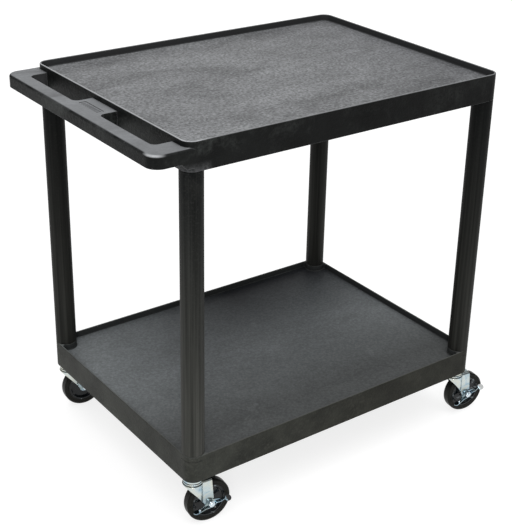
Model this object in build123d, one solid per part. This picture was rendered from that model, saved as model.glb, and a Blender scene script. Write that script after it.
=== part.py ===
from build123d import *
import math
import os

# Food service trolley: two moulded trays on four round legs, a push handle moulded onto
# the top tray, and four swivel casters, two of them with a side brake lever.
# Millimetres. +Z is up and the floor is z = 0. +X points away from the handle and +Y to
# the left of a person who pushes. The origin is on the floor, midway along the length.

# Trays
TRAY_LENGTH = 813.0
TRAY_WIDTH = 610.0
CORNER_RADIUS = 24.0
TRAY_WALL = 4.0
DECK_THICKNESS = 4.0
LIP_HEIGHT = 15.5
LIP_ROUNDING = 1.8
DECK_FILLET = 3.0
SKIRT_ROUNDING = 1.0
BOSS_BLEND = 5.0
RIB_THICKNESS = 3.0
RIB_DEPTH = 22.0
RIBS_ALONG_X = 3
RIBS_ALONG_Y = 5
TOP_LIP_HEIGHT = 877.0
TOP_SKIRT_BOTTOM = 816.0
BOTTOM_LIP_HEIGHT = 183.4
BOTTOM_SKIRT_BOTTOM = 120.2
CORNER_LINE_DROP = 11.0
CORNER_LINE_HEIGHT = 1.4
CORNER_LINE_DEPTH = 0.8

# The trays' centre stands ahead of the origin, because the handle reaches out behind
# further than the wheels reach out in front.
TRAY_CENTRE_X = 7.0

# Handle
HANDLE_REACH = 73.5
HANDLE_TOP = 864.7
HANDLE_BOTTOM = 836.7
HANDLE_BAR_WIDTH = 32.0
HANDLE_WALL = 4.0
HANDLE_CORNER_RADIUS = 27.0
HANDLE_EDGE_ROUNDING = 6.0
HAND_GAP_INNER_END = 50.0
HAND_GAP_OUTER_END = 253.0
HAND_GAP_RADIUS = 14.0
GUSSET_SIZE = 12.0
TAB_RECESS_LENGTH = 76.0
TAB_RECESS_WIDTH = 17.0
TAB_RECESS_DEPTH = 1.2
TAB_MARGIN = 3.0
TAB_RIB_COUNT = 9
TAB_RIB_WIDTH = 2.6
TAB_RIB_HEIGHT = 0.8

# Legs and the corner sockets that hold them
LEG_RADIUS = 24.0
LEG_BORE_RADIUS = 20.2
LEG_X = TRAY_LENGTH / 2 - LEG_RADIUS
LEG_Y = TRAY_WIDTH / 2 - LEG_RADIUS
LEG_END_CHAMFER = 1.2
SPIGOT_RADIUS = 20.9
SPIGOT_BORE_RADIUS = 17.5
SPIGOT_LENGTH = 38.0
SOCKET_RADIUS = 21.0
SOCKET_DEPTH = 40.0

# Casters, each measured from its own swivel axis: "trail" runs back from that axis to the
# wheel, and "side" runs along the axle
CASTER_INSET_X = 1.0
CASTER_INSET_Y = 3.0
TRAIL = 33.0
WHEEL_RADIUS = 50.8
AXLE_HEIGHT = WHEEL_RADIUS
RUNNING_CLEARANCE = 0.05
CUTTING_MARGIN = 1.0

# Swivel head
STEM_RADIUS = 5.5
STEM_TOP = 158.0
STEM_CHAMFER = 2.0
STEM_RING_GROOVE_RADIUS = 4.6
STEM_RING_LOW = 150.0
STEM_RING_HIGH = 153.0
STEM_RING_SLOT = 2.0
STEM_SLEEVE_RADIUS = 8.0
STEM_SLEEVE_TOP = 162.0
STEM_SLEEVE_CHAMFER = 1.0
CUP_RADIUS = 20.5
CUP_SHOULDER = 2.0
CUP_RIM_CHAMFER = 0.5
CUP_RIM_INNER_RADIUS = 18.4
CUP_RIM_BOTTOM = 111.4
CUP_UNDERSIDE = 115.2
BALL_RADIUS = 3.0
BALL_COUNT = 12
BALL_CIRCLE_RADIUS = 13.0
BALL_HEIGHT = 113.6
RACE_TOP = 112.0
RACE_RADIUS = 17.4
CROWN_TOP = 110.2
CROWN_UNDERSIDE = 106.6
CROWN_FLAT_RADIUS = 17.0
CROWN_RIM_RADIUS = 21.0
CROWN_RIM_HEIGHT = 107.4
CROWN_RIM_CHAMFER = 0.6
CROWN_NECK_RADIUS = 19.6
CROWN_NECK_HEIGHT = 106.2
CROWN_SHOULDER_HEIGHT = 104.6
RIVET_RADIUS = 8.0
RIVET_HEAD_THICKNESS = 3.2
RIVET_CHAMFER = 1.6
RIVET_GAP = 0.3

# Fork
FORK_METAL = 2.5
FORK_INNER_HALF_WIDTH = 14.0
FORK_OUTER_HALF_WIDTH = FORK_INNER_HALF_WIDTH + FORK_METAL
FORK_SHELL_RADIUS = 22.6
FORK_CREASE = math.sqrt(FORK_SHELL_RADIUS**2 - FORK_OUTER_HALF_WIDTH**2)
FORK_BEND_RADIUS = 6.5
FORK_TOP_REAR = 37.0
FORK_REAR_REACH = 9.0
FORK_FRONT_REACH = 14.0
FORK_BOTTOM_REACH = 10.5
FORK_BOTTOM_OFFSET = 1.5
FORK_FRONT_BELLY = (5.5, 71.0)

# Wheel
TREAD_HALF_WIDTH = 11.0
TREAD_ROUNDING = 4.0
TYRE_BORE_RADIUS = 38.6
TYRE_GROOVE_RADIUS = 42.0
TYRE_GROOVE_WIDTH = 1.6
TYRE_GROOVE_DEPTH = 1.4
RIM_HALF_WIDTH = 10.0
RIM_INNER_RADIUS = 33.0
RIM_DRAFT = 1.2
RIM_FOOT_WIDTH = 2.5
RIM_FOOT_DEPTH = 3.0
WEB_HALF_WIDTH = 4.0
HUB_RADIUS = 12.5
HUB_HALF_LENGTH = 12.6
HUB_CHAMFER = 1.5
HUB_FOOT = 2.0
SLEEVE_RADIUS = 6.0
SLEEVE_HALF_LENGTH = 13.95
WASHER_RADIUS = 10.0
WASHER_THICKNESS = 1.0
WASHER_GAP = 0.15

# Axle bolt and nut
BOLT_RADIUS = 4.0
HEX_ACROSS_FLATS = 13.0
BOLT_HEAD_THICKNESS = 5.3
NUT_THICKNESS = 6.4
BOLT_PROTRUSION = 1.6
BOLT_CHAMFER = 0.8
HEX_CHAMFER = 0.6

# Brake lever, measured from the axle: a bent strip with a round-nosed tongue in front and a
# round pedal behind, and an upright web that holds the strip beside the fork
LEVER_METAL = 2.0
LEVER_GAP = 0.1
LEVER_EYE_RADIUS = 9.5
LEVER_FRONT = -42.0
LEVER_FOOT_LINE = [
    (LEVER_FRONT, -13.0), (5.0, -10.2), (13.0, -2.6), (24.0, -2.6), (30.0, 0.4), (40.0, 0.4),
]
LEVER_WEB_OUTLINE = [
    (-22.0, -11.0), (5.0, -9.2), (13.0, -1.6), (27.0, -1.6), (20.0, 4.5), (0.0, 8.0), (-9.5, 0.0),
]
LEVER_TONGUE_WIDTH = 12.0
LEVER_WAIST_WIDTH = 6.0
LEVER_WAIST_START = -12.0
PEDAL_POSITION = 39.5
PEDAL_HEIGHT = 2.4
PEDAL_OFFSET = 5.5
PEDAL_RADIUS = 7.5
PEDAL_THICKNESS = 2.6
PEDAL_ROUNDING = 0.8
PEDAL_TILT = 25.0
LEVER_PIN_POSITION = -28.0
LEVER_PIN_RADIUS = 2.8
LEVER_PIN_HEIGHT = 5.0
LEVER_PIN_ROUNDING = 1.0
LEVER_PIN_SHANK_RADIUS = 1.6

# Name, position and heading of each caster: the signs of x and y, the angle of the trail
# from +X, and the pedal arm's slope in degrees where the caster has a brake
CASTERS = [
    ("rear_right", -1, -1, -6.4, -1.5),
    ("front_right", 1, -1, -7.9, 12.0),
    ("rear_left", -1, 1, -4.2, None),
    ("front_left", 1, 1, 18.0, None),
]


def upright(sketch, low, high):
    """A solid with the sketch's outline between two heights."""
    return extrude(Pos(0, 0, low) * sketch, amount=high - low)


def column(radius, low, high, x=0.0, y=0.0):
    """An upright cylinder between two heights."""
    return Pos(x, y, (low + high) / 2) * Cylinder(radius, high - low)


def block(x_range, y_range, z_range):
    """A box given by its limits along each axis."""
    sizes = [high - low for low, high in (x_range, y_range, z_range)]
    centre = [(high + low) / 2 for low, high in (x_range, y_range, z_range)]
    return Pos(*centre) * Box(*sizes)


def corners():
    """The four leg positions, measured from the trays' centre."""
    return [(x_sign * LEG_X, y_sign * LEG_Y) for x_sign in (-1, 1) for y_sign in (-1, 1)]


def tray_outline(inset=0.0):
    return RectangleRounded(
        TRAY_LENGTH - 2 * inset, TRAY_WIDTH - 2 * inset, CORNER_RADIUS - inset
    )


def spaced(count, length):
    """Evenly spaced positions across a length, none of them at its ends."""
    step = length / (count + 1)
    return [step * (index + 1) - length / 2 for index in range(count)]


def underside_ribs(low, high):
    """The crossing ribs that stiffen a deck from below."""
    ribs = []
    for y in spaced(RIBS_ALONG_X, TRAY_WIDTH):
        ribs.append(Pos(0, y) * Rectangle(TRAY_LENGTH - TRAY_WALL, RIB_THICKNESS))
    for x in spaced(RIBS_ALONG_Y, TRAY_LENGTH):
        ribs.append(Pos(x, 0) * Rectangle(RIB_THICKNESS, TRAY_WIDTH - TRAY_WALL))
    return upright(Sketch() + ribs, low, high)


def hollow_outline():
    """Plan outline of the space inside a tray's walls and round its four leg bosses."""
    bosses = [Pos(x, y) * Circle(LEG_RADIUS) for x, y in corners()]
    outline = tray_outline(TRAY_WALL) - bosses
    return fillet(outline.vertices(), BOSS_BLEND)


def tray(lip_top, skirt_bottom, recess):
    """A tray with a raised lip above its deck and a skirt, ribs and bosses below it."""
    deck_top = lip_top - LIP_HEIGHT
    deck_bottom = deck_top - DECK_THICKNESS
    body = upright(tray_outline(), skirt_bottom, lip_top)
    body = fillet(body.edges().group_by(Axis.Z)[0], SKIRT_ROUNDING)
    body -= upright(recess, deck_top, lip_top)
    body = fillet(body.edges().group_by(Axis.Z)[-1], LIP_ROUNDING)
    deck = body.faces().filter_by(Axis.Z).sort_by(
        lambda face: abs(face.center().Z - deck_top)
    )[0]
    body = fillet(deck.edges(), DECK_FILLET)
    body -= upright(hollow_outline(), skirt_bottom, deck_bottom)
    return body + underside_ribs(deck_bottom - RIB_DEPTH, deck_bottom)


def hand_gap(side):
    """Outline of one hand gap, rounded on the bar's side and square against the tray."""
    bar_edge = -TRAY_LENGTH / 2 - HANDLE_REACH + HANDLE_BAR_WIDTH
    tray_edge = -TRAY_LENGTH / 2
    length = HAND_GAP_OUTER_END - HAND_GAP_INNER_END
    depth = tray_edge - bar_edge
    middle_y = side * (HAND_GAP_OUTER_END + HAND_GAP_INNER_END) / 2
    rounded = RectangleRounded(2 * depth, length, HAND_GAP_RADIUS)
    return Pos(tray_edge, middle_y) * rounded


def beyond_tray(sketch):
    """The part of a sketch that lies outside the tray's end wall."""
    keep = Pos(-TRAY_LENGTH / 2 - HANDLE_REACH, 0) * Rectangle(2 * HANDLE_REACH, TRAY_WIDTH)
    return sketch & keep


def handle_outline(inset=0.0):
    """Plan outline of the handle, which runs in under the tray's rounded corners."""
    length = HANDLE_REACH + CORNER_RADIUS
    blank = RectangleRounded(
        2 * (length - inset), TRAY_WIDTH - 2 * inset, HANDLE_CORNER_RADIUS - inset
    )
    root_x = -TRAY_LENGTH / 2 + CORNER_RADIUS
    keep = Pos(root_x - length / 2, 0) * Rectangle(length, TRAY_WIDTH)
    return (Pos(root_x, 0) * blank) & keep


def handle_gussets():
    """Bevels between the handle's underside and the tray, at its arms and centre tab."""
    wall_x = -TRAY_LENGTH / 2
    points = [
        (wall_x - GUSSET_SIZE, HANDLE_BOTTOM),
        (wall_x, HANDLE_BOTTOM - GUSSET_SIZE),
        (wall_x + CORNER_RADIUS, HANDLE_BOTTOM - GUSSET_SIZE),
        (wall_x + CORNER_RADIUS, HANDLE_BOTTOM),
    ]
    profile = Plane.XZ * make_face(Polyline(*points, close=True))
    bevel = extrude(profile, amount=TRAY_WIDTH / 2, both=True)
    arm = (HAND_GAP_OUTER_END, TRAY_WIDTH / 2)
    spans = [arm, (-arm[1], -arm[0]), (-HAND_GAP_INNER_END, HAND_GAP_INNER_END)]
    reach = (wall_x - GUSSET_SIZE, wall_x + CORNER_RADIUS)
    heights = (HANDLE_BOTTOM - GUSSET_SIZE, HANDLE_BOTTOM)
    return [bevel & block(reach, span, heights) for span in spans]


def handle():
    """The moulded push handle: an outer bar, two arms and a centre tab."""
    gaps = [hand_gap(side) for side in (-1, 1)]
    body = upright(handle_outline(), HANDLE_BOTTOM, HANDLE_TOP)
    outer_edges = body.edges().filter_by(
        lambda edge: edge.center().Z > (HANDLE_TOP + HANDLE_BOTTOM) / 2
        and edge.center().X < -TRAY_LENGTH / 2 + CORNER_RADIUS - CUTTING_MARGIN
    )
    body = fillet(outer_edges, HANDLE_EDGE_ROUNDING)
    for gap in gaps:
        body -= upright(beyond_tray(gap), HANDLE_BOTTOM, HANDLE_TOP)
    cavity = beyond_tray(handle_outline(HANDLE_WALL))
    for side in (-1, 1):
        cavity -= beyond_tray(offset(hand_gap(side), HANDLE_WALL))
    body -= upright(cavity, HANDLE_BOTTOM, HANDLE_TOP - HANDLE_WALL - HANDLE_EDGE_ROUNDING)
    for gusset in handle_gussets():
        body += gusset
    body -= upright(tray_outline(TRAY_WALL / 2), HANDLE_BOTTOM - GUSSET_SIZE, HANDLE_TOP)
    return body - tab_recess() + tab_ribs()


def tab_centre_x():
    panel_edge = -TRAY_LENGTH / 2 - HANDLE_REACH + HANDLE_BAR_WIDTH + TAB_MARGIN
    return panel_edge + TAB_RECESS_WIDTH / 2


def tab_recess():
    """The shallow panel sunk into the handle's centre tab."""
    panel = RectangleRounded(TAB_RECESS_WIDTH, TAB_RECESS_LENGTH, TAB_MARGIN)
    return upright(Pos(tab_centre_x(), 0) * panel, HANDLE_TOP - TAB_RECESS_DEPTH, HANDLE_TOP)


def tab_ribs():
    """A row of plain grip ribs in the centre tab's panel."""
    floor = HANDLE_TOP - TAB_RECESS_DEPTH
    rib = SlotOverall(TAB_RECESS_WIDTH - 2 * TAB_MARGIN, TAB_RIB_WIDTH)
    places = [Pos(tab_centre_x(), y) * rib for y in spaced(TAB_RIB_COUNT, TAB_RECESS_LENGTH)]
    return upright(Sketch() + places, floor, floor + TAB_RIB_HEIGHT)


def top_tray():
    """The top tray with its handle and four downward leg sockets."""
    body = tray(TOP_LIP_HEIGHT, TOP_SKIRT_BOTTOM, tray_outline(TRAY_WALL)) + handle()
    for x, y in corners():
        body -= column(SOCKET_RADIUS, TOP_SKIRT_BOTTOM, TOP_SKIRT_BOTTOM + SOCKET_DEPTH, x, y)
    return body


def corner_line(x, y):
    """The groove line moulded round a lower corner, a little below its leg's joint."""
    high = BOTTOM_LIP_HEIGHT - CORNER_LINE_DROP
    low = high - CORNER_LINE_HEIGHT
    inner_radius = LEG_RADIUS - CORNER_LINE_DEPTH
    return column(LEG_RADIUS + CUTTING_MARGIN, low, high, x, y) - column(inner_radius, low, high, x, y)


def bottom_tray():
    """The bottom tray with upward leg sockets and a bore for each caster's sleeve."""
    body = tray(BOTTOM_LIP_HEIGHT, BOTTOM_SKIRT_BOTTOM, hollow_outline())
    for x, y in corners():
        socket_floor = BOTTOM_LIP_HEIGHT - SOCKET_DEPTH
        body -= column(SOCKET_RADIUS, socket_floor, BOTTOM_LIP_HEIGHT, x, y)
        body -= corner_line(x, y)
    for _, x_sign, y_sign, _, _ in CASTERS:
        x, y = swivel_axis(x_sign, y_sign)
        bore = STEM_SLEEVE_RADIUS + RUNNING_CLEARANCE
        body -= column(bore, BOTTOM_SKIRT_BOTTOM, BOTTOM_LIP_HEIGHT, x, y)
    return body


def leg(x_sign, y_sign):
    """A tubular leg with a reduced spigot at each end."""
    low = BOTTOM_LIP_HEIGHT
    high = TOP_SKIRT_BOTTOM
    x = x_sign * LEG_X
    y = y_sign * LEG_Y
    tube = column(LEG_RADIUS, low, high, x, y)
    tube = chamfer(tube.edges().filter_by(GeomType.CIRCLE), LEG_END_CHAMFER)
    tube += column(SPIGOT_RADIUS, low - SPIGOT_LENGTH, high + SPIGOT_LENGTH, x, y)
    tube -= column(SPIGOT_BORE_RADIUS, low - SPIGOT_LENGTH, high + SPIGOT_LENGTH, x, y)
    shoulder = LEG_BORE_RADIUS - SPIGOT_BORE_RADIUS
    tube -= column(LEG_BORE_RADIUS, low + shoulder, high - shoulder, x, y)
    return tube


def swivel_axis(x_sign, y_sign):
    """Where a caster's swivel axis stands, measured from the trays' centre."""
    return x_sign * (LEG_X - CASTER_INSET_X), y_sign * (LEG_Y - CASTER_INSET_Y)


def turned(points):
    """A solid turned about Z from (radius, height) points."""
    return revolve(Plane.XZ * make_face(Polyline(*points, close=True)), Axis.Z)


def caster_stem():
    """The fixed half of the swivel: stem, ball cup and the pin that the crown turns on."""
    pin_bottom = CROWN_UNDERSIDE - RIVET_GAP
    rivet_bottom = pin_bottom - RIVET_HEAD_THICKNESS
    body = turned([
        (0, rivet_bottom),
        (RIVET_RADIUS - RIVET_CHAMFER, rivet_bottom),
        (RIVET_RADIUS, rivet_bottom + RIVET_CHAMFER),
        (RIVET_RADIUS, pin_bottom),
        (STEM_RADIUS, pin_bottom),
        (STEM_RADIUS, CUP_UNDERSIDE),
        (CUP_RIM_INNER_RADIUS, CUP_UNDERSIDE),
        (CUP_RIM_INNER_RADIUS, CUP_RIM_BOTTOM),
        (CUP_RADIUS - CUP_RIM_CHAMFER, CUP_RIM_BOTTOM),
        (CUP_RADIUS, CUP_RIM_BOTTOM + CUP_RIM_CHAMFER),
        (CUP_RADIUS, BOTTOM_SKIRT_BOTTOM - CUP_SHOULDER),
        (CUP_RADIUS - CUP_SHOULDER, BOTTOM_SKIRT_BOTTOM),
        (STEM_RADIUS, BOTTOM_SKIRT_BOTTOM),
        (STEM_RADIUS, STEM_RING_LOW),
        (STEM_RING_GROOVE_RADIUS, STEM_RING_LOW),
        (STEM_RING_GROOVE_RADIUS, STEM_RING_HIGH),
        (STEM_RADIUS, STEM_RING_HIGH),
        (STEM_RADIUS, STEM_TOP - STEM_CHAMFER),
        (STEM_RADIUS - STEM_CHAMFER, STEM_TOP),
        (0, STEM_TOP),
    ])
    race = Pos(0, 0, BALL_HEIGHT) * Torus(BALL_CIRCLE_RADIUS, BALL_RADIUS + RIVET_GAP)
    return body - race


def stem_ring():
    """The split spring ring in the stem's groove."""
    low = STEM_RING_LOW + RUNNING_CLEARANCE
    high = STEM_RING_HIGH - RUNNING_CLEARANCE
    inner = STEM_RING_GROOVE_RADIUS + RUNNING_CLEARANCE
    ring = column(STEM_RADIUS, low, high) - column(inner, low, high)
    slot = (-STEM_RING_SLOT / 2, STEM_RING_SLOT / 2)
    return ring - block((0, 2 * STEM_RADIUS), slot, (low, high))


def stem_sleeve():
    """The grip sleeve pressed into the bottom tray's corner, which holds the stem."""
    body = column(STEM_SLEEVE_RADIUS, BOTTOM_SKIRT_BOTTOM, STEM_SLEEVE_TOP)
    body = chamfer(body.edges().sort_by(Axis.Z)[-1], STEM_SLEEVE_CHAMFER)
    bore_radius = STEM_RADIUS + RUNNING_CLEARANCE
    return body - column(bore_radius, BOTTOM_SKIRT_BOTTOM, STEM_SLEEVE_TOP)


def swivel_balls():
    """The ring of bearing balls between the cup and the crown."""
    balls = []
    for index in range(BALL_COUNT):
        angle = math.radians(360.0 * index / BALL_COUNT)
        x = BALL_CIRCLE_RADIUS * math.cos(angle)
        y = BALL_CIRCLE_RADIUS * math.sin(angle)
        balls.append(Pos(x, y, BALL_HEIGHT) * Sphere(BALL_RADIUS))
    return balls


def fork_side_outline():
    """Side view of a fork leg, from its bottom round the axle up to the crown."""
    bottom_rear = (TRAIL + FORK_REAR_REACH, AXLE_HEIGHT)
    bottom_front = (TRAIL - FORK_FRONT_REACH, AXLE_HEIGHT)
    bottom_middle = (TRAIL - FORK_BOTTOM_OFFSET, AXLE_HEIGHT - FORK_BOTTOM_REACH)
    crown_front = (-FORK_SHELL_RADIUS, CROWN_SHOULDER_HEIGHT - CUTTING_MARGIN)
    lines = [
        ThreePointArc(bottom_rear, bottom_middle, bottom_front),
        ThreePointArc(bottom_front, FORK_FRONT_BELLY, crown_front),
        Line(crown_front, (-FORK_SHELL_RADIUS, CROWN_TOP)),
        Line((-FORK_SHELL_RADIUS, CROWN_TOP), (FORK_TOP_REAR, CROWN_TOP)),
        Line((FORK_TOP_REAR, CROWN_TOP), bottom_rear),
    ]
    return Plane.XZ * make_face(Curve() + lines)


def fork_channel(low):
    """The fork's flat legs and the roof between them, with a round bend at each side."""
    outer = RectangleRounded(
        2 * FORK_OUTER_HALF_WIDTH, 2 * (CROWN_TOP - low), FORK_BEND_RADIUS
    )
    inner = RectangleRounded(
        2 * FORK_INNER_HALF_WIDTH, 2 * (CROWN_UNDERSIDE - low), FORK_BEND_RADIUS - FORK_METAL
    )
    flat_start = math.sqrt(
        (FORK_SHELL_RADIUS - FORK_METAL)**2 - FORK_INNER_HALF_WIDTH**2
    )
    section = Plane.YZ * (Pos(0, low) * (outer - inner))
    reach = TRAIL + FORK_REAR_REACH + CUTTING_MARGIN - flat_start
    return Pos(flat_start, 0, 0) * extrude(section, amount=reach)


def crown():
    """The round top of the fork: a shoulder, a neck under a rolled rim, and the ball race."""
    return turned([
        (0, CROWN_UNDERSIDE),
        (CROWN_FLAT_RADIUS, CROWN_UNDERSIDE),
        (FORK_SHELL_RADIUS - FORK_METAL, CROWN_SHOULDER_HEIGHT - CUTTING_MARGIN),
        (FORK_SHELL_RADIUS, CROWN_SHOULDER_HEIGHT - CUTTING_MARGIN),
        (FORK_SHELL_RADIUS, CROWN_SHOULDER_HEIGHT),
        (CROWN_NECK_RADIUS, CROWN_NECK_HEIGHT),
        (CROWN_RIM_RADIUS, CROWN_RIM_HEIGHT),
        (CROWN_RIM_RADIUS, CROWN_TOP - CROWN_RIM_CHAMFER),
        (CROWN_RIM_RADIUS - CROWN_RIM_CHAMFER, CROWN_TOP),
        (RACE_RADIUS, CROWN_TOP),
        (RACE_RADIUS, RACE_TOP),
        (0, RACE_TOP),
    ])


def fork():
    """The pressed fork: a round crown, and two legs that turn flat behind a crease."""
    low = AXLE_HEIGHT - FORK_BOTTOM_REACH - CUTTING_MARGIN
    shell = column(FORK_SHELL_RADIUS, low, CROWN_SHOULDER_HEIGHT)
    shell -= column(FORK_SHELL_RADIUS - FORK_METAL, low, CROWN_SHOULDER_HEIGHT)
    behind_crease = (FORK_CREASE, 2 * FORK_SHELL_RADIUS)
    width = (-FORK_SHELL_RADIUS, FORK_SHELL_RADIUS)
    shell -= block(behind_crease, width, (low, CROWN_TOP))
    body = (shell + fork_channel(low)) & extrude(
        fork_side_outline(), amount=FORK_SHELL_RADIUS, both=True
    )
    body += crown()
    body -= column(STEM_RADIUS + RUNNING_CLEARANCE, low, RACE_TOP)
    body -= Pos(0, 0, BALL_HEIGHT) * Torus(BALL_CIRCLE_RADIUS, BALL_RADIUS + RUNNING_CLEARANCE)
    return body - along_axle(BOLT_RADIUS + RUNNING_CLEARANCE, -2 * TRAIL, 2 * TRAIL)


def along_axle(radius, side_start, side_end):
    """A cylinder on the axle's line between two sideways positions."""
    middle = (side_start + side_end) / 2
    bar = Cylinder(radius, side_end - side_start)
    return Pos(TRAIL, middle, AXLE_HEIGHT) * Rot(90, 0, 0) * bar


def about_axle(points):
    """A solid turned about the axle from (sideways position, radius) points."""
    face = make_face(Polyline(*points, close=True))
    wheel = revolve(face, Axis.X)
    return Pos(TRAIL, 0, AXLE_HEIGHT) * Rot(0, 0, 90) * wheel


def mirrored(points):
    """An outline's points followed by their mirror images across the wheel's middle."""
    return points + [(-side, radius) for side, radius in reversed(points)]


def tyre():
    """The solid tyre, with rounded shoulders and a groove round each face."""
    body = about_axle(mirrored([
        (TREAD_HALF_WIDTH, TYRE_BORE_RADIUS),
        (TREAD_HALF_WIDTH, WHEEL_RADIUS),
    ]))
    shoulders = body.edges().group_by(lambda edge: round(edge.length))[-1]
    body = fillet(shoulders, TREAD_ROUNDING)
    groove_outer = TYRE_GROOVE_RADIUS + TYRE_GROOVE_WIDTH
    for side in (-1, 1):
        floor = side * (TREAD_HALF_WIDTH - TYRE_GROOVE_DEPTH)
        edge = side * (TREAD_HALF_WIDTH + CUTTING_MARGIN)
        groove = about_axle([
            (floor, TYRE_GROOVE_RADIUS),
            (edge, TYRE_GROOVE_RADIUS),
            (edge, groove_outer),
            (floor, groove_outer),
        ])
        body -= groove
    return body


def wheel_core():
    """The moulded wheel centre: rim, thin web and hub."""
    rim_outer = TYRE_BORE_RADIUS - RUNNING_CLEARANCE
    hub_bore = SLEEVE_RADIUS + RUNNING_CLEARANCE
    return about_axle(mirrored([
        (HUB_HALF_LENGTH, hub_bore),
        (HUB_HALF_LENGTH, HUB_RADIUS - HUB_CHAMFER),
        (HUB_HALF_LENGTH - HUB_CHAMFER, HUB_RADIUS),
        (WEB_HALF_WIDTH + HUB_FOOT, HUB_RADIUS),
        (WEB_HALF_WIDTH, HUB_RADIUS + HUB_FOOT),
        (WEB_HALF_WIDTH, RIM_INNER_RADIUS - RIM_FOOT_DEPTH),
        (WEB_HALF_WIDTH + RIM_FOOT_WIDTH, RIM_INNER_RADIUS),
        (RIM_HALF_WIDTH, RIM_INNER_RADIUS + RIM_DRAFT),
        (RIM_HALF_WIDTH, rim_outer),
    ]))


def axle_sleeve():
    """The plain bearing sleeve that the hub turns on."""
    body = along_axle(SLEEVE_RADIUS, -SLEEVE_HALF_LENGTH, SLEEVE_HALF_LENGTH)
    return body - along_axle(BOLT_RADIUS + RUNNING_CLEARANCE, -TRAIL, TRAIL)


def axle_washers():
    """The two thrust washers between the hub and the fork legs."""
    washers = []
    for side in (-1, 1):
        inner_face = HUB_HALF_LENGTH + WASHER_GAP
        ends = sorted((side * inner_face, side * (inner_face + WASHER_THICKNESS)))
        ring = along_axle(WASHER_RADIUS, *ends)
        washers.append(ring - along_axle(SLEEVE_RADIUS + RUNNING_CLEARANCE, *ends))
    return washers


def hexagon(side_start, side_end):
    """A chamfered hexagon head or nut blank on the axle's line."""
    corner_radius = HEX_ACROSS_FLATS / 2 / math.cos(math.radians(30))
    low, high = sorted((side_start, side_end))
    blank = extrude(RegularPolygon(corner_radius, 6), amount=high - low)
    dome = Pos(0, 0, (high - low) / 2) * Cylinder(corner_radius, high - low)
    dome = chamfer(dome.edges().filter_by(GeomType.CIRCLE), HEX_CHAMFER)
    return Pos(TRAIL, high, AXLE_HEIGHT) * Rot(90, 0, 0) * (blank & dome)


def nut_face(out_sign, braked):
    """Sideways position of the face that the nut is tightened against."""
    lever_space = 2 * LEVER_GAP + LEVER_METAL if braked else 0.0
    return out_sign * (FORK_OUTER_HALF_WIDTH + lever_space)


def axle_bolt(out_sign, braked):
    """The axle bolt, its head on the trolley's inner side."""
    seat = -out_sign * FORK_OUTER_HALF_WIDTH
    head = hexagon(seat, seat - out_sign * BOLT_HEAD_THICKNESS)
    tip = nut_face(out_sign, braked) + out_sign * (NUT_THICKNESS + BOLT_PROTRUSION)
    low, high = sorted((seat, tip))
    shank = along_axle(BOLT_RADIUS, low, high)
    end_edge = shank.edges().filter_by(GeomType.CIRCLE).sort_by(
        lambda edge: out_sign * edge.center().Y
    )[-1]
    return chamfer(end_edge, BOLT_CHAMFER) + head


def axle_nut(out_sign, braked):
    """The lock nut on the trolley's outer side."""
    face = nut_face(out_sign, braked)
    body = hexagon(face, face + out_sign * NUT_THICKNESS)
    return body - along_axle(BOLT_RADIUS + RUNNING_CLEARANCE, -2 * TRAIL, 2 * TRAIL)


def lever_frame(pedal_slope):
    """Carries lever shapes, drawn about the axle, to their place on the caster."""
    return Pos(TRAIL, 0, AXLE_HEIGHT) * Rot(0, -pedal_slope, 0)


def lever_web(inner_face):
    """The upright web of the lever, with its eye round the axle."""
    blank = make_face(Polyline(*LEVER_WEB_OUTLINE, close=True)) + Circle(LEVER_EYE_RADIUS)
    blank -= Circle(BOLT_RADIUS + RUNNING_CLEARANCE)
    web = extrude(Plane.XZ * blank, amount=LEVER_METAL, dir=(0, -1, 0))
    return Pos(0, -inner_face, 0) * web


def lever_strip(inner_face):
    """The bent strip: a wide tongue, a waist under the axle nut and the pedal's arm."""
    top_line = [(x, z + LEVER_METAL) for x, z in reversed(LEVER_FOOT_LINE)]
    side_view = Plane.XZ * make_face(Polyline(*LEVER_FOOT_LINE, *top_line, close=True))
    bent = extrude(side_view, amount=inner_face + LEVER_TONGUE_WIDTH, dir=(0, -1, 0))
    nose_radius = LEVER_TONGUE_WIDTH / 2
    nose_x = LEVER_FRONT + nose_radius
    nose = Pos(nose_x, -inner_face - nose_radius) * Circle(nose_radius)
    blade = make_face(Polyline(
        (nose_x, -inner_face),
        (nose_x, -inner_face - LEVER_TONGUE_WIDTH),
        (LEVER_WAIST_START, -inner_face - LEVER_WAIST_WIDTH),
        (PEDAL_POSITION, -inner_face - LEVER_WAIST_WIDTH),
        (PEDAL_POSITION, -inner_face),
        close=True,
    ))
    reach = 2 * LEVER_TONGUE_WIDTH
    return bent & upright(Sketch() + [nose, blade], -reach, reach)


def lever_pedal(inner_face):
    """The round pedal, which faces up and a little outward."""
    pedal = Cylinder(PEDAL_RADIUS, PEDAL_THICKNESS)
    pedal = fillet(pedal.edges().filter_by(GeomType.CIRCLE), PEDAL_ROUNDING)
    place = Pos(PEDAL_POSITION, -inner_face - PEDAL_OFFSET, PEDAL_HEIGHT)
    return place * Rot(PEDAL_TILT, 0, 0) * pedal


def brake_lever(pedal_slope):
    """The side brake lever in its released position, pedal up."""
    inner_face = FORK_OUTER_HALF_WIDTH + LEVER_GAP
    body = lever_web(inner_face) + lever_strip(inner_face) + lever_pedal(inner_face)
    body -= pin_place() * column(LEVER_PIN_SHANK_RADIUS, -2 * LEVER_METAL, LEVER_METAL)
    return lever_frame(pedal_slope) * body


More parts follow.
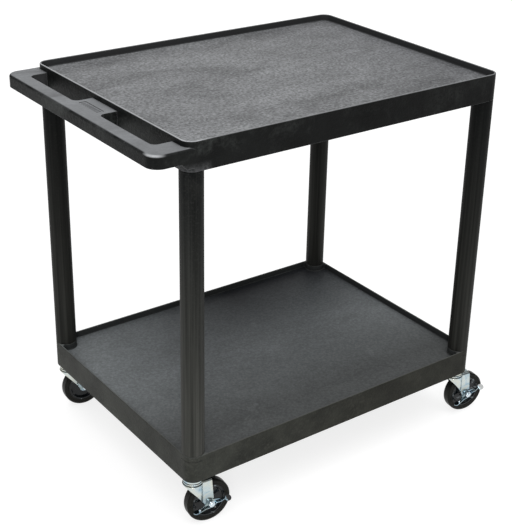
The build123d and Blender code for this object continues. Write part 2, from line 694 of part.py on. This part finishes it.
def pin_place():
    """Where the pin stands on the tongue's upper face, square to its slope."""
    (front_x, front_foot), (waist_x, waist_foot) = LEVER_FOOT_LINE[:2]
    slope = (waist_foot - front_foot) / (waist_x - front_x)
    height = front_foot + slope * (LEVER_PIN_POSITION - front_x) + LEVER_METAL
    side = -(FORK_OUTER_HALF_WIDTH + LEVER_GAP + LEVER_TONGUE_WIDTH / 2)
    return Pos(LEVER_PIN_POSITION, side, height) * Rot(0, -math.degrees(math.atan(slope)), 0)


def brake_pin(pedal_slope):
    """The small round-headed pin riveted through the lever's tongue."""
    head = column(LEVER_PIN_RADIUS, 0, LEVER_PIN_HEIGHT)
    head = fillet(head.edges().sort_by(Axis.Z)[-1], LEVER_PIN_ROUNDING)
    shank_radius = LEVER_PIN_SHANK_RADIUS - RUNNING_CLEARANCE
    shank = column(shank_radius, RUNNING_CLEARANCE - LEVER_METAL, 0)
    return lever_frame(pedal_slope) * pin_place() * (head + shank)


def as_group(solids):
    """Separate solids kept together as one node."""
    return Compound(children=list(solids))


def save(name, shape, placing):
    export_step(placing * shape, os.path.join("parts", name + ".step"))


def save_caster(name, x_sign, y_sign, heading, pedal_slope):
    """Writes one caster's pieces, turned to its heading under its corner."""
    x, y = swivel_axis(x_sign, y_sign)
    placing = Pos(TRAY_CENTRE_X + x, y, 0) * Rot(0, 0, heading)
    braked = pedal_slope is not None
    save(name + "_stem", caster_stem(), placing)
    save(name + "_stem_ring", stem_ring(), placing)
    save(name + "_stem_sleeve", stem_sleeve(), placing)
    save(name + "_swivel_balls", as_group(swivel_balls()), placing)
    save(name + "_fork", fork(), placing)
    save(name + "_axle_bolt", axle_bolt(y_sign, braked), placing)
    save(name + "_axle_nut", axle_nut(y_sign, braked), placing)
    save(name + "_axle_sleeve", axle_sleeve(), placing)
    save(name + "_axle_washers", as_group(axle_washers()), placing)
    save(name + "_wheel_core", wheel_core(), placing)
    save(name + "_tyre", tyre(), placing)
    if braked:
        save(name + "_brake_lever", brake_lever(pedal_slope), placing)
        save(name + "_brake_pin", brake_pin(pedal_slope), placing)


def main():
    os.makedirs("parts", exist_ok=True)
    centre = Pos(TRAY_CENTRE_X, 0, 0)
    save("top_tray", top_tray(), centre)
    save("bottom_tray", bottom_tray(), centre)
    for name, x_sign, y_sign, heading, pedal_slope in CASTERS:
        save(name + "_leg", leg(x_sign, y_sign), centre)
        save_caster(name, x_sign, y_sign, heading, pedal_slope)


main()
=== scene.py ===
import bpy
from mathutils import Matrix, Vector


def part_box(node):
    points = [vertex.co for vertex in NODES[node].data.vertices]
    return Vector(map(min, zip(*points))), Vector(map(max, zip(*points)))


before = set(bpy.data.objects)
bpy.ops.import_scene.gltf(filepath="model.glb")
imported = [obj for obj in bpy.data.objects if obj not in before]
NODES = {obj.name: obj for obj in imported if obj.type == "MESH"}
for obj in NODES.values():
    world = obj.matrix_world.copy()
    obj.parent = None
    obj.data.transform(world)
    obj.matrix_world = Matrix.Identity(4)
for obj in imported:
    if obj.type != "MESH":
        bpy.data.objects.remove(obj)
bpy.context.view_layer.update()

import math
from types import SimpleNamespace

import bmesh
import bpy
from mathutils import Matrix, Vector

WHITE = (1.0, 1.0, 1.0, 1.0)
BLACK = (0.0, 0.0, 0.0, 1.0)

# Lengths that the materials use, in metres.
LIP_WIDTH = 0.004
AXLE_HEIGHT = 0.05

# The decks' bands and scuffs run this far off the trays' length, in degrees.
STREAK_TURN = 14.0

# How the two trays differ: colours, with each deck painted lighter than its walls as painted top
# light, and how strong their bands, speckles and lip wear with painted highlights are.
TRAYS = {
    "top_tray": SimpleNamespace(
        lit_deck=(0.250, 0.256, 0.264),
        shaded_wall=(0.0075, 0.0083, 0.0080),
        dust=(0.056, 0.061, 0.058),
        lip=(0.43, 0.44, 0.45),
        banding=0.34,
        speckle=1.0,
        lip_wear_and_highlight=0.45),
    "bottom_tray": SimpleNamespace(
        lit_deck=(0.228, 0.246, 0.254),
        shaded_wall=(0.024, 0.025, 0.021),
        dust=(0.046, 0.046, 0.040),
        lip=(0.12, 0.12, 0.105),
        banding=0.12,
        speckle=0.50,
        lip_wear_and_highlight=0.35),
}


# Node helpers -------------------------------------------------------------------------------

class Shader:
    """A Principled material that is built node by node."""

    def __init__(self, name, roughness=0.5, metallic=0.0, specular=0.5):
        self.material = bpy.data.materials.new(name)
        self.material.use_nodes = True
        self.tree = self.material.node_tree
        self.surface = self.tree.nodes["Principled BSDF"]
        self.surface.inputs["Roughness"].default_value = roughness
        self.surface.inputs["Metallic"].default_value = metallic
        self.surface.inputs["Specular IOR Level"].default_value = specular
        coordinates = self.tree.nodes.new("ShaderNodeTexCoord")
        self.place = coordinates.outputs["Object"]

    def node(self, kind, **settings):
        made = self.tree.nodes.new(kind)
        for key, value in settings.items():
            setattr(made, key, value)
        return made

    def link(self, source, target):
        self.tree.links.new(source, target)

    def put(self, target, value):
        """Links an output to an input, or sets the input to a plain value."""
        if isinstance(value, bpy.types.NodeSocket):
            self.link(value, target)
        else:
            target.default_value = value

    def finish(self, colour, roughness=None, normal=None):
        """Connects the looks to the surface and returns the material."""
        self.put(self.surface.inputs["Base Color"], colour)
        if roughness is not None:
            self.put(self.surface.inputs["Roughness"], roughness)
        if normal is not None:
            self.link(normal, self.surface.inputs["Normal"])
        return self.material

    # Patterns

    def stretched(self, scale, turn=0.0):
        """The object's coordinates, turned about Z in degrees and scaled along each axis."""
        mapping = self.node("ShaderNodeMapping")
        mapping.inputs["Scale"].default_value = scale
        mapping.inputs["Rotation"].default_value = (0.0, 0.0, math.radians(turn))
        self.link(self.place, mapping.inputs["Vector"])
        return mapping.outputs["Vector"]

    def noise(self, scale, detail=3.0, roughness=0.5, distortion=0.0, vector=None):
        made = self.node("ShaderNodeTexNoise")
        made.inputs["Scale"].default_value = scale
        made.inputs["Detail"].default_value = detail
        made.inputs["Roughness"].default_value = roughness
        made.inputs["Distortion"].default_value = distortion
        self.link(vector or self.place, made.inputs["Vector"])
        return made.outputs["Fac"]

    def cells(self, scale):
        made = self.node("ShaderNodeTexVoronoi", feature="F1")
        made.inputs["Scale"].default_value = scale
        self.link(self.place, made.inputs["Vector"])
        return made.outputs["Distance"]

    # Arithmetic

    def ramp(self, factor, stops):
        """Maps a factor through (position, value or colour) stops."""
        made = self.node("ShaderNodeValToRGB")
        elements = made.color_ramp.elements
        while len(elements) < len(stops):
            elements.new(0.5)
        for element, (position, value) in zip(elements, stops):
            element.position = position
            colour = value if isinstance(value, tuple) else (value,) * 3
            element.color = (*colour, 1.0)
        self.link(factor, made.inputs["Fac"])
        return made.outputs["Color"]

    def rise(self, factor, low, high, top=1.0):
        """0 where the factor is below one value, rising to the top above another."""
        return self.ramp(factor, [(low, 0.0), (high, top)])

    def mix(self, factor, first, second, blend="MIX"):
        made = self.node("ShaderNodeMix", data_type="RGBA", blend_type=blend)
        self.put(made.inputs["Factor"], factor)
        for socket, value in ((made.inputs["A"], first), (made.inputs["B"], second)):
            if isinstance(value, tuple):
                value = (*value, 1.0)
            self.put(socket, value)
        return made.outputs["Result"]

    def multiplied(self, colour, tint):
        return self.mix(1.0, colour, tint, blend="MULTIPLY")

    def tinted(self, mask, colour, tint):
        """A colour that is multiplied by the tint where the mask is 1."""
        return self.mix(mask, colour, self.multiplied(colour, tint))

    def math(self, operation, first, second):
        made = self.node("ShaderNodeMath", operation=operation)
        self.put(made.inputs[0], first)
        self.put(made.inputs[1], second)
        return made.outputs["Value"]

    def product(self, first, *others):
        """Factors multiplied together."""
        for other in others:
            first = self.math("MULTIPLY", first, other)
        return first

    def component(self, vector, axis):
        parts = self.node("ShaderNodeSeparateXYZ")
        self.link(vector, parts.inputs["Vector"])
        return parts.outputs[axis]

    # Masks

    def along(self, axis, zero, one):
        """0 at one place on an axis, 1 at another, and level beyond both, in metres."""
        span = self.node("ShaderNodeMapRange")
        self.link(self.component(self.place, axis), span.inputs["Value"])
        span.inputs["From Min"].default_value = zero
        span.inputs["From Max"].default_value = one
        return span.outputs["Result"]

    def facing(self):
        """The surface's own normal."""
        return self.node("ShaderNodeNewGeometry").outputs["Normal"]

    def upward(self, low, high):
        """1 on faces that look up, 0 on walls, between two heights of the normal."""
        return self.rise(self.component(self.facing(), "Z"), low, high)

    def shoulder(self):
        """1 where a rounding turns from a wall to a top face, 0 on both faces."""
        return self.ramp(self.component(self.facing(), "Z"),
                         [(0.10, 0.0), (0.55, 1.0), (0.85, 0.8), (0.99, 0.0)])

    def inward(self):
        """1 on walls that face the middle of the trolley, 0 on its outer walls."""
        level = self.node("ShaderNodeVectorMath", operation="MULTIPLY")
        self.link(self.place, level.inputs[0])
        level.inputs[1].default_value = (1.0, 1.0, 0.0)
        outward = self.node("ShaderNodeVectorMath", operation="DOT_PRODUCT")
        self.link(level.outputs["Vector"], outward.inputs[0])
        self.link(self.facing(), outward.inputs[1])
        return self.math("LESS_THAN", outward.outputs["Value"], 0.0)

    def openness(self, reach):
        """1 on open faces, falling towards 0 in corners and creases, where shade falls."""
        made = self.node("ShaderNodeAmbientOcclusion", samples=8, only_local=True)
        made.inputs["Distance"].default_value = reach
        return made.outputs["AO"]

    def edges(self, radius):
        """1 along sharp edges and 0 on open faces, from a bevelled normal."""
        bend = self.node("ShaderNodeVectorMath", operation="DOT_PRODUCT")
        self.link(self.softened(radius), bend.inputs[0])
        self.link(self.facing(), bend.inputs[1])
        return self.ramp(bend.outputs["Value"], [(0.80, 1.0), (0.985, 0.0)])

    # Normals

    def softened(self, radius):
        """The surface's normal with its sharp edges rounded off."""
        bevel = self.node("ShaderNodeBevel", samples=4)
        bevel.inputs["Radius"].default_value = radius
        return bevel.outputs["Normal"]

    def bump(self, height, strength, distance, before=None):
        made = self.node("ShaderNodeBump")
        made.inputs["Strength"].default_value = strength
        made.inputs["Distance"].default_value = distance
        self.link(height, made.inputs["Height"])
        if before is not None:
            self.link(before, made.inputs["Normal"])
        return made.outputs["Normal"]


def shade(colour, factor):
    """A colour made lighter or darker."""
    return tuple(factor * channel for channel in colour)


# Tray plastic -------------------------------------------------------------------------------

def tray_marks(s):
    """The patterns that a tray's deck and walls share."""
    return SimpleNamespace(
        pebble=s.cells(330.0),
        grain=s.noise(175.0, detail=2.5, roughness=0.65),
        flow=s.noise(4.2, detail=6.0, roughness=0.62, distortion=0.9,
                     vector=s.stretched((0.8, 2.2, 1.0), turn=STREAK_TURN)),
        patch=s.noise(3.4, detail=3.0, roughness=0.5, distortion=1.6),
        scuff=s.noise(6.0, detail=7.0, roughness=0.75, distortion=0.4,
                      vector=s.stretched((0.9, 12.0, 1.0), turn=STREAK_TURN)),
        smear=s.noise(8.0, detail=6.0, roughness=0.7, distortion=0.5),
        cloud=s.noise(14.0, detail=6.0, roughness=0.65))


def deck_colours(s, node, marks, tray_end):
    """A pebbled deck with bands, patches and scuffs, and a smoother handle beside it."""
    look = TRAYS[node]
    lit_deck = s.mix(s.rise(marks.flow, 0.34, 0.66), shade(look.lit_deck, 1.0 - look.banding),
                 shade(look.lit_deck, 1.0 + look.banding))
    lit_deck = s.mix(s.rise(marks.patch, 0.50, 0.54, top=0.45), lit_deck, shade(look.lit_deck, 1.12))
    lit_deck = s.mix(s.rise(marks.smear, 0.62, 0.66, top=0.45), lit_deck, shade(look.lit_deck, 1.4))
    lit_deck = s.mix(s.rise(marks.scuff, 0.66, 0.72, top=0.60), lit_deck, shade(look.lit_deck, 1.7))
    lit_deck = s.mix(s.ramp(marks.scuff, [(0.27, 0.50), (0.33, 0.0)]), lit_deck, shade(look.lit_deck, 0.45))

    speckled = s.multiplied(lit_deck, s.ramp(marks.grain, [(0.33, 0.48), (0.60, 1.0)]))
    speckled = s.mix(s.rise(marks.grain, 0.56, 0.74, top=0.35), speckled, shade(look.lit_deck, 1.8))
    handle = s.mix(0.15, s.multiplied(lit_deck, (0.86, 0.87, 0.88)), speckled)
    lit_deck = s.mix(look.speckle, lit_deck, speckled)
    lit_deck = s.mix(s.along("X", tray_end, tray_end + LIP_WIDTH), handle, lit_deck)

    if node == "top_tray":
        to_front = s.along("X", 0.10, 0.40)
        return s.tinted(to_front, lit_deck, (0.80, 0.80, 0.81))
    # Painted shade under the top tray: the back of the bottom deck is darkened.
    shade_under_top_tray = s.product(s.along("Y", 0.0, 0.27), s.along("X", -0.32, 0.10))
    to_near = s.along("Y", 0.05, -0.22)
    lit_deck = s.tinted(shade_under_top_tray, lit_deck, (0.10, 0.10, 0.11))
    return s.tinted(to_near, lit_deck, (0.42, 0.41, 0.40))


def wall_colours(s, node, marks):
    """Clouded, dusty walls, darker away from the handle and paler on their inner faces; on the
    bottom tray the paler handle end is painted light.
    """
    look = TRAYS[node]
    shaded_wall = s.mix(s.rise(marks.cloud, 0.36, 0.68), shade(look.shaded_wall, 0.62), shade(look.shaded_wall, 1.30))
    dusty = s.product(s.rise(marks.smear, 0.50, 0.68),
                      s.ramp(marks.grain, [(0.36, 0.15), (0.62, 1.0)]))
    shaded_wall = s.mix(s.product(dusty, 0.70), shaded_wall, look.dust)
    shaded_wall = s.mix(s.rise(marks.grain, 0.50, 0.74, top=0.30), shaded_wall, shade(look.shaded_wall, 2.4))
    shaded_wall = s.mix(s.rise(marks.scuff, 0.66, 0.74, top=0.35), shaded_wall, look.dust)

    to_front = s.along("X", -0.45, 0.10)
    if node == "top_tray":
        shaded_wall = s.tinted(to_front, shaded_wall, (0.45, 0.45, 0.45))
    else:
        # Painted light on the bottom tray: walls paler at the handle end, darker towards the
        # front.
        shaded_wall = s.mix(to_front, s.multiplied(shaded_wall, (1.35, 1.37, 1.40)),
                     s.multiplied(shaded_wall, (0.85, 0.83, 0.78)))
    return s.mix(s.product(s.inward(), 0.75), shaded_wall, shade(look.lit_deck, 0.20))


def handle_end_wear_and_highlights(s, colour, lip_crest, grain, tray_end, low):
    """Adds, at the pushing end, a paler lip and handle corner, partly wear and partly painted
    highlights, and paler leg bosses, partly dust and partly painted light.
    """
    deck_colour = TRAYS["top_tray"].lit_deck
    # The pale colour is the painted highlight on the lip corner and the handle corner.
    pale = shade(deck_colour, 2.3)
    near_side = s.along("Y", low[1] + 0.036, low[1] + 0.020)

    # The end lip's crest: wear with a painted highlight.
    end_lip = s.product(lip_crest, s.along("X", tray_end + LIP_WIDTH + 0.001, tray_end + LIP_WIDTH))
    colour = s.mix(s.product(end_lip, 0.85), colour, shade(deck_colour, 2.0))

    # The lip at the near corner: a painted highlight.
    corner_lip = s.product(lip_crest, near_side, s.along("X", tray_end + 0.060, tray_end + 0.030))
    colour = s.mix(s.product(corner_lip, 0.8), colour, pale)

    # The handle's near corner shoulder: a painted highlight.
    bar_corner = s.product(s.shoulder(), near_side,
                           s.along("X", low[0] + 0.030, low[0] + 0.012))
    colour = s.mix(s.product(bar_corner, 0.85), colour, pale)

    # The leg bosses, paler: partly dust, partly painted light.
    boss = s.product(s.along("Z", low[2] + 0.020, low[2] + 0.002),
                     s.along("X", tray_end + 0.056, tray_end + 0.046),
                     s.ramp(grain, [(0.36, 0.35), (0.60, 1.0)]))
    return s.mix(s.product(boss, 0.55), colour, shade(deck_colour, 0.42))


def tray_plastic(node):
    """Moulded black plastic: a pebbled, scuffed deck painted pale as painted top light, plainer
    walls painted dark as painted shade, a lip with wear and painted highlights, and painted shade
    in corners.
    """
    s = Shader(node + "_plastic", specular=0.08)
    look = TRAYS[node]
    low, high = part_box(node)
    lip_top = high[2]
    tray_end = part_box("bottom_tray")[0][0]
    marks = tray_marks(s)
    up = s.upward(0.78, 0.97)
    # Painted top light: faces that look up take the pale deck colours, walls the dark wall
    # colours.
    colour = s.mix(up, wall_colours(s, node, marks), deck_colours(s, node, marks, tray_end))

    # The lip's crest takes its own lip colour: partly wear, partly a painted highlight.
    lip_crest = s.product(s.along("Z", lip_top - 0.0024, lip_top - 0.0006), s.upward(0.30, 0.75))
    colour = s.mix(s.product(lip_crest, look.lip_wear_and_highlight), colour, look.lip)
    if node == "top_tray":
        colour = handle_end_wear_and_highlights(s, colour, lip_crest, marks.grain, tray_end, low)
    # Rounded shoulders take a paler grey in smeared patches: partly rubbing, partly a painted
    # highlight.
    shoulder_wear_and_highlight = s.product(s.shoulder(), s.rise(marks.smear, 0.42, 0.62, top=0.35))
    colour = s.mix(shoulder_wear_and_highlight, colour, shade(look.lit_deck, 0.40))
    # Sharp edges are painted paler: partly wear, partly a painted highlight.
    edge_wear_and_highlight = s.product(s.edges(0.0024), look.lip_wear_and_highlight)
    colour = s.mix(edge_wear_and_highlight, colour, shade(look.lip, 0.5))
    # Painted shade: corners and creases are darkened from ambient occlusion.
    painted_corner_shade = s.ramp(s.openness(0.018), [(0.35, 0.60), (0.80, 1.0)])
    colour = s.multiplied(colour, painted_corner_shade)

    wall_roughness = s.ramp(marks.grain, [(0.3, 0.42), (0.7, 0.58)])
    deck_roughness = s.ramp(marks.flow, [(0.3, 0.46), (0.7, 0.62)])
    roughness = s.mix(up, wall_roughness, deck_roughness)
    normal = s.bump(marks.pebble, 0.40, 0.0007, before=s.softened(0.0012))
    normal = s.bump(marks.grain, 0.45, 0.0012, before=normal)
    return s.finish(colour, roughness, normal)


# The other materials ------------------------------------------------------------------------

def leg_plastic(name, dust):
    """Extruded satin black tube with soft draw lines, paler towards the floor and darker towards
    the top.
    """
    s = Shader(name, specular=0.05)
    lines = s.noise(7.0, detail=5.0, roughness=0.6, vector=s.stretched((26.0, 26.0, 0.30)))
    grain = s.noise(260.0, detail=2.0)
    smear = s.noise(7.0, detail=5.0, roughness=0.65, distortion=0.9)
    low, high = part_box("rear_right_leg")
    upper = s.along("Z", low[2] + 0.15, high[2] - 0.05)
    pale = s.mix(upper, shade((0.115, 0.116, 0.105), dust), shade((0.022, 0.024, 0.024), dust))
    dark = s.mix(upper, shade((0.045, 0.046, 0.041), dust), shade((0.006, 0.007, 0.007), dust))
    specks = shade((0.068, 0.069, 0.064), dust)
    colour = s.mix(s.rise(lines, 0.34, 0.66), dark, pale)
    colour = s.mix(s.rise(smear, 0.56, 0.74, top=0.40), colour, specks)
    colour = s.mix(s.rise(grain, 0.52, 0.74, top=0.35), colour, specks)
    roughness = s.ramp(lines, [(0.3, 0.38), (0.7, 0.54)])
    normal = s.bump(lines, 0.15, 0.0006, before=s.softened(0.0010))
    normal = s.bump(grain, 0.18, 0.0004, before=normal)
    return s.finish(colour, roughness, normal)


def zinc(name, roughness, pedal_node=None, tip_reflection_colour=None):
    """Bright zinc plate: bluish and yellowish patches over a slightly rippled pressing, with
    painted highlights on its sharp edges and painted shade darkening it towards the axle.

    A pedal node's tip, at the node's +X end, is painted a plain non-metal colour as a painted
    reflection.
    """
    s = Shader(name, metallic=1.0)
    patch = s.noise(42.0, detail=4.0, roughness=0.6, distortion=0.8)
    fine = s.noise(420.0, detail=3.0, roughness=0.7)
    ripple = s.noise(55.0, detail=2.0)
    colour = s.ramp(patch, [(0.28, (0.34, 0.50, 0.62)), (0.44, (0.62, 0.72, 0.76)),
                            (0.56, (0.74, 0.77, 0.73)), (0.72, (0.62, 0.63, 0.53))])
    colour = s.mix(s.rise(fine, 0.60, 0.8, top=0.40), colour, (0.36, 0.37, 0.37))
    # Painted highlights: sharp edges painted near white.
    colour = s.mix(s.product(s.edges(0.0012), 0.7), colour, (0.95, 0.97, 0.98))
    shadow = s.ramp(s.openness(0.006), [(0.30, 0.25), (0.80, 1.0)])
    colour = s.multiplied(colour, shadow)
    # Painted shade: the plate darkens and turns bluish towards the axle.
    painted_shade_to_axle = s.ramp(s.along("Z", AXLE_HEIGHT, AXLE_HEIGHT + 0.045),
                     [(0.0, (0.38, 0.45, 0.50)), (0.75, (0.80, 0.80, 0.78))])
    colour = s.multiplied(colour, painted_shade_to_axle)
    rough = s.ramp(fine, [(0.3, roughness - 0.05), (0.7, roughness + 0.08)])
    # The pedal tip's plain colour is a painted reflection.
    if pedal_node is not None:
        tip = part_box(pedal_node)[1][0]
        tip_mask = s.along("X", tip - 0.0125, tip - 0.0105)
        colour = s.mix(tip_mask, colour, tip_reflection_colour)
        rough = s.mix(tip_mask, rough, (0.45, 0.45, 0.45))
        s.put(s.surface.inputs["Metallic"], s.math("SUBTRACT", 1.0, tip_mask))
    normal = s.bump(ripple, 0.35, 0.0012, before=s.softened(0.0008))
    normal = s.bump(fine, 0.05, 0.0003, before=normal)
    return s.finish(colour, rough, normal)


def fastener_steel():
    """Turned and plated steel, a little grey with handling, with painted highlights on its sharp
    edges.
    """
    s = Shader("fastener_steel", metallic=1.0)
    turned = s.noise(900.0, detail=2.0, vector=s.stretched((1.0, 0.2, 1.0)))
    dirt = s.noise(140.0, detail=3.0)
    colour = s.ramp(dirt, [(0.35, (0.50, 0.60, 0.66)), (0.65, (0.78, 0.84, 0.88))])
    # Painted highlights: sharp edges painted near white.
    colour = s.mix(s.product(s.edges(0.0008), 0.7), colour, (0.94, 0.95, 0.96))
    rough = s.ramp(dirt, [(0.3, 0.16), (0.7, 0.34)])
    normal = s.bump(turned, 0.1, 0.0002, before=s.softened(0.0005))
    return s.finish(colour, rough, normal)


def bearing_steel():
    """Polished hardened steel."""
    s = Shader("bearing_steel", metallic=1.0)
    haze = s.noise(260.0, detail=3.0)
    colour = s.ramp(haze, [(0.3, (0.62, 0.63, 0.64)), (0.7, (0.82, 0.83, 0.84))])
    rough = s.ramp(haze, [(0.3, 0.10), (0.7, 0.24)])
    return s.finish(colour, rough, s.bump(haze, 0.03, 0.0002))


def wheel_core_plastic():
    """Glossy moulded black wheel centre with handling smudges, painted glints, and painted
    highlights on its sharp edges.
    """
    s = Shader("wheel_core_plastic", specular=0.26)
    smudge_and_glints = s.noise(45.0, detail=4.0, roughness=0.6, distortion=0.5)
    fine = s.noise(240.0, detail=2.0)
    # Darker and lighter smudges, and beyond them pale spots that are painted glints.
    colour = s.ramp(smudge_and_glints, [(0.35, (0.003, 0.004, 0.005)), (0.60, (0.010, 0.012, 0.014)),
                             (0.66, (0.16, 0.18, 0.19))])
    # Painted highlights: sharp edges painted paler.
    colour = s.mix(s.product(s.edges(0.0012), 0.35), colour, (0.10, 0.10, 0.10))
    rough = s.ramp(smudge_and_glints, [(0.3, 0.08), (0.7, 0.22)])
    normal = s.bump(fine, 0.10, 0.0004, before=s.softened(0.0010))
    return s.finish(colour, rough, normal)


def tyre_rubber():
    """Smooth hard rubber with a little dust, and sharp edges painted paler, partly as wear and
    partly as a painted highlight.
    """
    s = Shader("tyre_rubber", specular=0.10)
    dust = s.noise(60.0, detail=5.0, roughness=0.65)
    fine = s.noise(420.0, detail=3.0)
    colour = s.ramp(dust, [(0.35, (0.006, 0.006, 0.005)), (0.62, (0.011, 0.011, 0.009)),
                           (0.82, (0.038, 0.036, 0.030))])
    # Sharp edges painted paler: partly wear, partly a painted highlight.
    colour = s.mix(s.product(s.edges(0.0015), 0.35), colour, (0.07, 0.07, 0.063))
    rough = s.ramp(fine, [(0.3, 0.28), (0.7, 0.46)])
    normal = s.bump(fine, 0.12, 0.0003, before=s.softened(0.0010))
    normal = s.bump(dust, 0.10, 0.0008, before=normal)
    return s.finish(colour, rough, normal)


def nylon():
    """Natural nylon, slightly yellowed."""
    s = Shader("nylon")
    cloud = s.noise(120.0, detail=3.0)
    colour = s.ramp(cloud, [(0.3, (0.58, 0.57, 0.53)), (0.7, (0.72, 0.71, 0.67))])
    rough = s.ramp(cloud, [(0.3, 0.36), (0.7, 0.5)])
    return s.finish(colour, rough, s.bump(cloud, 0.05, 0.0003))


# Dressing the CAD nodes ---------------------------------------------------------------------

def dress(node, material):
    """Gives a CAD node its material."""
    slots = NODES[node].data.materials
    slots.clear()
    slots.append(material)


def dress_everything():
    """Gives every CAD node a material, by what its name ends with."""
    plated = fastener_steel()
    polished = bearing_steel()
    plain_nylon = nylon()
    by_ending = {
        "_leg": leg_plastic("leg_plastic", dust=0.28),
        "_stem": zinc("stem_zinc", 0.16),
        "_stem_ring": plated,
        "_stem_sleeve": plain_nylon,
        "_swivel_balls": polished,
        "_fork": zinc("fork_zinc", 0.20),
        "_axle_bolt": plated,
        "_axle_nut": plated,
        "_axle_sleeve": polished,
        "_axle_washers": plain_nylon,
        "_wheel_core": wheel_core_plastic(),
        "_tyre": tyre_rubber(),
        "_brake_pin": plated,
    }
    for node in NODES:
        for ending, material in by_ending.items():
            if node.endswith(ending):
                dress(node, material)
    for tray in TRAYS:
        dress(tray, tray_plastic(tray))
    dress("rear_right_leg", leg_plastic("dusty_leg_plastic", dust=0.56))
    # Painted reflections on the pedal tips: dark on the rear right lever, pale on the front right
    # one.
    painted_tip_reflections = {"rear_right": (0.010, 0.010, 0.011), "front_right": (0.50, 0.51, 0.51)}
    for corner, tip_reflection_colour in painted_tip_reflections.items():
        lever = corner + "_brake_lever"
        dress(lever, zinc(lever + "_zinc", 0.13, lever, tip_reflection_colour))


# Studio -------------------------------------------------------------------------------------

def add_to_scene(name, data):
    made = bpy.data.objects.new(name, data)
    bpy.context.scene.collection.objects.link(made)
    return made


def glowing(s, strength):
    """Lets a pale stage surface give off white light of its own."""
    s.surface.inputs["Emission Color"].default_value = WHITE
    s.surface.inputs["Emission Strength"].default_value = strength


def floor():
    """A plain pale floor, far larger than the view."""
    half = 14.0
    mesh = bpy.data.meshes.new("floor")
    corners = [(-half, -half, 0), (half, -half, 0), (half, half, 0), (-half, half, 0)]
    mesh.from_pydata(corners, [], [(0, 1, 2, 3)])
    s = Shader("floor_paper", roughness=0.9, specular=0.1)
    glowing(s, 0.78)
    mottle = s.noise(1.5, detail=2.0)
    mesh.materials.append(s.finish(s.ramp(mottle, [(0.3, 0.34), (0.7, 0.36)])))
    add_to_scene("floor", mesh)


def backdrop():
    """A pale dome round the floor, which only the camera sees: it lights nothing."""
    mesh = bpy.data.meshes.new("backdrop")
    shell = bmesh.new()
    bmesh.ops.create_uvsphere(shell, u_segments=64, v_segments=32, radius=13.0)
    shell.to_mesh(mesh)
    shell.free()
    s = Shader("backdrop_paper", roughness=0.9, specular=0.0)
    glowing(s, 1.0)
    s.material.cycles.emission_sampling = "NONE"
    mesh.materials.append(s.finish(BLACK))
    made = add_to_scene("backdrop", mesh)
    made.visible_diffuse = False
    made.visible_glossy = False
    made.visible_transmission = False
    made.visible_shadow = False


def facing_along(direction):
    """The rotation that points a light or camera along a direction."""
    return direction.to_track_quat("-Z", "Y").to_euler()


def area_light(name, place, target, size, watts):
    lamp = bpy.data.lights.new(name, "AREA")
    lamp.shape = "RECTANGLE"
    lamp.size, lamp.size_y = size
    lamp.energy = watts
    made = add_to_scene(name, lamp)
    made.location = place
    made.rotation_euler = facing_along(Vector(target) - Vector(place))


def lighting():
    """Soft light from above, a key light near the handle and a fill from behind."""
    world = bpy.data.worlds.new("studio")
    bpy.context.scene.world = world
    world.use_nodes = True
    background = world.node_tree.nodes["Background"]
    background.inputs["Color"].default_value = WHITE
    background.inputs["Strength"].default_value = 0.20
    sun = bpy.data.lights.new("overhead", "SUN")
    sun.energy = 1.9
    sun.angle = math.radians(60.0)
    add_to_scene("overhead", sun).rotation_euler = facing_along(Vector((0.10, 0.22, -1.0)))
    area_light("key", place=(-2.6, -3.4, 2.4), target=(0.0, 0.0, 0.4), size=(1.2, 1.0), watts=60.0)
    area_light("back_fill", place=(2.2, 5.2, 3.2), target=(0.0, 0.0, 0.5), size=(6.0, 3.0),
               watts=60.0)
    bpy.context.scene.view_settings.view_transform = "Standard"


def camera():
    """The viewing angle: a little right of the handle's end, looking down on the decks."""
    place = (-1.4895, -2.0130, 1.6288)
    yaw, pitch, roll = (math.radians(angle) for angle in (37.231, 24.617, 1.515))
    focal_px = 1187.2
    frame_px = 532.0
    ahead = Vector((math.sin(yaw) * math.cos(pitch), math.cos(yaw) * math.cos(pitch),
                    -math.sin(pitch)))
    right = Vector((math.cos(yaw), -math.sin(yaw), 0.0))
    above = right.cross(ahead)
    turned_right = math.cos(roll) * right + math.sin(roll) * above
    turned_above = math.cos(roll) * above - math.sin(roll) * right
    data = bpy.data.cameras.new("camera")
    data.sensor_width = 36.0
    data.lens = focal_px / frame_px * data.sensor_width
    data.shift_x = -0.0380
    data.shift_y = -0.0624
    made = add_to_scene("camera", data)
    turn = Matrix((turned_right, turned_above, -ahead)).transposed().to_4x4()
    made.matrix_world = Matrix.Translation(place) @ turn
    bpy.context.scene.camera = made


dress_everything()
floor()
backdrop()
lighting()
camera()
